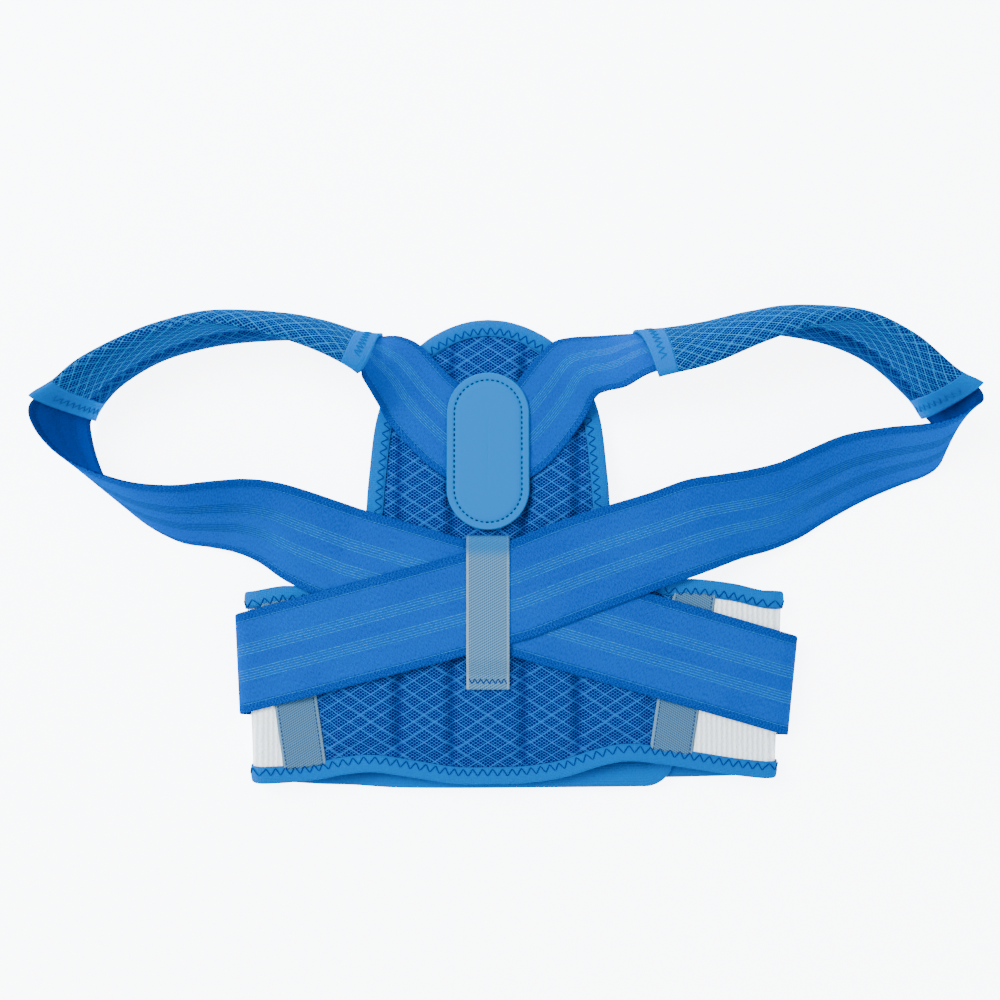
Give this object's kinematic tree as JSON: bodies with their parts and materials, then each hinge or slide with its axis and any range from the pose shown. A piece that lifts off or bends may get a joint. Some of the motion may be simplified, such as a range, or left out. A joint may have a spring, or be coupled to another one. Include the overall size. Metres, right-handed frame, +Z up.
{
  "type": "posture corrector",
  "caption": "Posture corrector lying flat: quilted mesh back panel with waist wings folded behind it, crossed elastic straps with padded shoulder loops and an oval patch.",
  "frame": {"origin": "on the table under the middle of the whole garment", "axes": "+X to the right along the waist seen from the outer face, +Y from the waist hem to the top of the yoke, +Z up off the table"},
  "size_m": [0.5312, 0.2826, 0.0591],
  "materials": {
    "mesh": "matte air mesh",
    "pad_mesh": "matte air mesh",
    "tape": "matte woven tape",
    "elastic": "satin knitted elastic",
    "webbing": "matte twill webbing",
    "fleece": "matte ribbed loop fleece",
    "leather": "smooth"
  },
  "bodies": {
    "root": {"back_panel": "mesh", "edge_binding": "tape", "strap_keeper": "webbing", "back_patch": "leather", "left_waist_wing": "fleece", "left_seam_webbing": "webbing", "left_shoulder_strap": "elastic", "left_shoulder_pad": "pad_mesh", "left_pad_binding_back": "tape", "left_pad_binding_tip": "tape", "right_waist_wing": "fleece", "right_seam_webbing": "webbing", "right_shoulder_strap": "elastic", "right_shoulder_pad": "pad_mesh", "right_pad_binding_back": "tape", "right_pad_binding_tip": "tape"}
  },
  "joints": []
}
